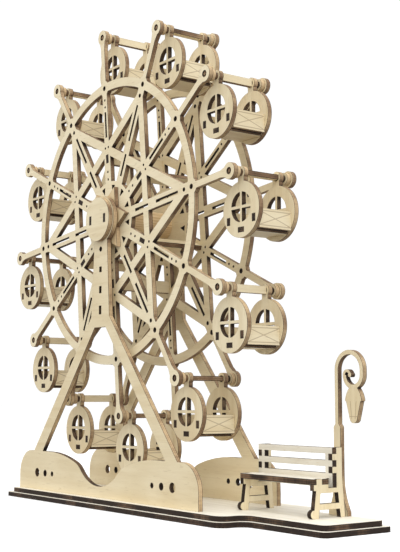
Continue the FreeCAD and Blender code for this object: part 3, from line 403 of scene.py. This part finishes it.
def cut_ply(name, lay, grain="x", centre=(0, 0, 0), tone=0.0, burn=0.3, veneer=PLAIN_VENEER,
            marks=None, seed=0.0):
    """Laser-cut birch ply: veneer faces with a thin brown line at their rims, and burnt edges. The rim
    is where the eased normal turns away from the true one."""
    finish = Finish(name)
    position = finish.centred(centre)
    is_face, depth, through, scorch = lay(finish, position, finish.normal)
    face, fibres = veneer_face(finish, position, grain, veneer, tone, seed)
    edge, ripples = laser_edge(finish, position, depth, through, scorch, burn, seed)
    is_edge = finish.calc("SUBTRACT", 1.0, is_face)
    height = finish.calc("ADD", finish.calc("MULTIPLY", fibres, 0.5),
                         finish.calc("MULTIPLY", ripples, is_edge))
    if marks:
        scored = marks(finish, position)
        face = finish.mix(finish.calc("MULTIPLY", scored, 0.5), face, SINGE_BROWN)
        height = finish.calc("SUBTRACT", height, finish.calc("MULTIPLY", scored, 2.0))
    eased = finish.soften(EASED_EDGE)
    true_normal = finish.add("ShaderNodeNewGeometry").outputs["True Normal"]
    agreement = finish.vector("DOT_PRODUCT", eased, true_normal)
    rim = finish.fade(agreement, 0.72, 0.99, start=0.85, end=0.0)
    face = finish.mix(rim, face, SINGE_BROWN)
    colour = finish.mix(is_face, edge, face)
    roughness = finish.fade(is_face, 0.0, 1.0, start=0.85, end=0.6)
    return finish.close(colour, roughness, height, bump=0.25, eased=eased)


def turned_dowel(name, centre, seed):
    """Turned softwood dowel with its grain along Y: rings on the ends, streaks along the side. The
    rings are the sine of the distance from a heart that lies beside the axis."""
    finish = Finish(name)
    position = finish.centred(centre)
    from_heart = finish.vector("LENGTH", finish.drawn_out(position, "y", 0.02, shift=RING_HEART))
    rings = finish.calc("SINE", finish.calc("MULTIPLY", from_heart, RING_RATE))
    along_grain = finish.drawn_out(position, "y", 0.05, shift=(seed, 0, 0))
    streaks = finish.noise(along_grain, scale=1200, detail=3, roughness=0.6)
    share = finish.calc("ADD", finish.fade(rings, -0.6, 1.0, end=0.5),
                        finish.fade(streaks, 0.4, 0.75, end=0.45))
    colour = finish.mix(share, DOWEL_LIGHT, DOWEL_DARK)
    facing = finish.size(finish.part(finish.normal, "y"))
    colour = finish.mix(finish.fade(facing, 0.6, 0.9, end=0.3), colour, SINGE_TAN)
    return finish.close(colour, 0.55, streaks, bump=0.3, eased=finish.soften(EASED_EDGE))


# ---------------------------------------------------------------- the pieces

def dress(node, material):
    """Give a piece of the toy its finish."""
    mesh = nodes[node].data
    mesh.materials.clear()
    mesh.materials.append(material)


def dress_sheet(node, material, axis, grain, centre=(0, 0, 0), **look):
    """Give a flat piece that is square to an axis its ply, laid in the piece's own sheet."""
    middle = sheet_middle(node, axis) - centre["xyz".index(axis)]
    dress(node, cut_ply(material, flat(axis, middle), grain, centre, **look))


def dress_base():
    """Both base plates: pale faces, almost black edges."""
    for layer, burn, seed in (("lower", 1.25, 1.0), ("upper", 1.2, 2.0)):
        dress_sheet(f"base_{layer}_plate", f"base_{layer}_ply", "z", "x", burn=burn, tone=-0.15,
                    veneer=PALE_VENEER, seed=seed)


def dress_supports():
    """A-frames, hub cap and keys."""
    for side, tone, seed in (("front", 0.25, 3.0), ("rear", 0.05, 4.0)):
        node = "support_" + side
        lay = support_sheet(sheet_middle(node, "y"))
        dress(node, cut_ply("support_ply_" + side, lay, "x", burn=0.25, tone=tone, seed=seed))
    dress_sheet("hub_cap_disc", "cap_ply", "y", "x", AXLE, burn=0.25, seed=6.0)
    dress("hub_cap_keys", cut_ply("key_ply", flat("x"), "y", AXLE, burn=1.3, seed=7.0))


def dress_wheel():
    """Wheel plates, hub stars, spacer bars, sleeve and axle."""
    # painted light and shade: the front plate's tone is lighter and the rear plate's darker, as the
    # front lies in the light and the rear in the wheel's shade
    for side, tone, seed in (("front", -0.2, 8.0), ("rear", 0.3, 9.0)):
        dress_sheet(f"wheel_{side}_plate", "wheel_ply_" + side, "y", "x", burn=0.42, tone=tone,
                    seed=seed)
        dress_sheet("hub_star_" + side, "star_ply_" + side, "y", "z", AXLE, burn=0.35,
                    veneer=HONEY_VENEER, seed=seed + 0.5)
    # painted shade: the spacer bars between the plates get a darker tone for the shade inside the wheel
    dress("wheel_spacer_bars", cut_ply("spacer_ply", spacers, "y", AXLE, tone=0.3, burn=0.65,
                                       seed=10.0))
    dress("hub_sleeve", turned_dowel("sleeve_wood", AXLE, 4.0))
    dress("axle", turned_dowel("axle_wood", AXLE, 1.0))


def dress_crank():
    """Crank arm, its disc, the pin and the knob."""
    pin = pivots["crank_knob"]
    dress_sheet("crank_arm", "crank_ply", "y", "z", AXLE, burn=0.4, seed=12.0)
    dress_sheet("crank_hub_disc", "crank_disc_ply", "y", "x", AXLE, burn=0.4, seed=13.0)
    dress("crank_pin", turned_dowel("pin_wood", pin, 2.0))
    dress("crank_knob", turned_dowel("knob_wood", pin, 3.0))


def dress_cabins():
    """Twelve cabins, each with its own run of grain and its own tone."""
    ends = flat("y", CABIN_END, pair=True)
    for number in range(1, 13):
        name = f"cabin_{number:02d}"
        centre = pivots[name]
        seed = 20.0 + number
        tone = 0.12 * math.sin(number * 2.4)
        dress(name + "_ends", cut_ply(name + "_end_ply", ends, "z", centre, tone=0.15 + tone,
                                      burn=0.35, seed=seed))
        dress(name + "_panels", cut_ply(name + "_panel_ply", cabin_panels, "y", centre, tone=tone,
                                        burn=0.25, marks=panel_cross, seed=seed + 0.3))
        dress(name + "_bar", cut_ply(name + "_bar_ply", cabin_bar(number in LYING_BARS), "y", centre,
                                     tone=0.1 + tone, burn=0.35, seed=seed + 0.6))


def dress_bench():
    """Bench frames, seat and slatted back, with dark edges."""
    for side, seed in (("left", 40.0), ("right", 41.0)):
        dress_sheet("bench_side_" + side, "bench_ply_" + side, "x", "z", burn=1.15, tone=-0.1,
                    seed=seed)
    dress_sheet("bench_seat", "bench_seat_ply", "z", "x", burn=1.0, veneer=PALE_VENEER, seed=42.0)
    dress_sheet("bench_back", "bench_back_ply", "y", "x", burn=1.15, tone=0.2, veneer=PALE_VENEER,
                seed=43.0)


def dress_lamp():
    """Street lamp, with its lantern's panes."""
    dress_sheet("lamp_post", "lamp_ply", "y", "z", burn=0.35, tone=0.25, marks=lantern_panes,
                seed=44.0)


# ---------------------------------------------------------------- studio

def make_floor():
    """A plain pale floor: one large flat grid at height zero."""
    half_width = 8.0
    steps = np.linspace(-half_width, half_width, 9)
    across, along = np.meshgrid(steps, steps, indexing="ij")
    points = np.stack([across.ravel(), along.ravel(), np.zeros(across.size)], axis=1)
    count = len(steps)
    corner = (np.arange(count - 1)[:, None] * count + np.arange(count - 1)).ravel()
    quads = np.stack([corner, corner + count, corner + count + 1, corner + 1], axis=1)
    mesh = bpy.data.meshes.new("studio_floor")
    mesh.from_pydata(points.tolist(), [], quads.tolist())
    floor = bpy.data.objects.new("studio_floor", mesh)
    bpy.context.scene.collection.objects.link(floor)
    paint = bpy.data.materials.new("studio_floor_paint")
    paint.use_nodes = True
    shader = paint.node_tree.nodes["Principled BSDF"]
    shader.inputs["Base Color"].default_value = (0.99, 0.99, 0.99, 1)
    shader.inputs["Roughness"].default_value = 0.9
    shader.inputs["Specular IOR Level"].default_value = 0.1
    mesh.materials.append(paint)
    floor.visible_diffuse = False


def make_world():
    """White surroundings above the horizon, dim below it."""
    world = bpy.data.worlds.new("studio_white")
    bpy.context.scene.world = world
    world.use_nodes = True
    tree = world.node_tree
    background = tree.nodes["Background"]
    place = tree.nodes.new("ShaderNodeTexCoord")
    split = tree.nodes.new("ShaderNodeSeparateXYZ")
    fade = tree.nodes.new("ShaderNodeMapRange")
    for key, value in (("From Min", -0.25), ("From Max", -0.04), ("To Min", 0.30), ("To Max", 1.04)):
        fade.inputs[key].default_value = value
    tree.links.new(place.outputs["Generated"], split.inputs["Vector"])
    tree.links.new(split.outputs["Z"], fade.inputs["Value"])
    tree.links.new(fade.outputs["Result"], background.inputs["Strength"])
    background.inputs["Color"].default_value = (1, 1, 1, 1)


def make_light(name, place, aim, width, power):
    """A square soft box at a place, turned towards a point."""
    lamp = bpy.data.lights.new(name, "AREA")
    lamp.shape = "SQUARE"
    lamp.size = width
    lamp.energy = power
    box = bpy.data.objects.new(name, lamp)
    bpy.context.scene.collection.objects.link(box)
    x, y, z = np.subtract(aim, place)
    box.location = place
    box.rotation_euler = (math.atan2(math.hypot(x, y), -z), 0.0, math.atan2(-x, y))


def make_lights():
    """A key box to the right of the front, a weak fill box to its left, and one overhead."""
    toy_middle, ground = (0.0, 0.0, 0.15), (0.0, 0.0, 0.0)
    make_light("key_box", (1.3, -0.7, 1.2), toy_middle, width=0.9, power=12.0)
    make_light("fill_box", (-0.9, -1.3, 0.7), toy_middle, width=1.2, power=3.0)
    make_light("top_box", (0.2, -0.1, 1.7), ground, width=1.2, power=10.0)


def make_camera():
    """Low camera to the right of the toy's front."""
    lens = bpy.data.cameras.new("camera")
    lens.sensor_fit = "VERTICAL"
    lens.sensor_height = 36.0
    lens.lens = 71.82
    lens.clip_start = 0.01
    camera = bpy.data.objects.new("camera", lens)
    bpy.context.scene.collection.objects.link(camera)
    camera.location = (0.6218, -0.4069, 0.0710)
    camera.rotation_euler = tuple(math.radians(a) for a in (96.257, 0.0, 53.628))
    bpy.context.scene.camera = camera


dress_base()
dress_supports()
dress_wheel()
dress_crank()
dress_cabins()
dress_bench()
dress_lamp()
make_floor()
make_world()
make_lights()
make_camera()
bpy.context.scene.view_settings.view_transform = "Standard"
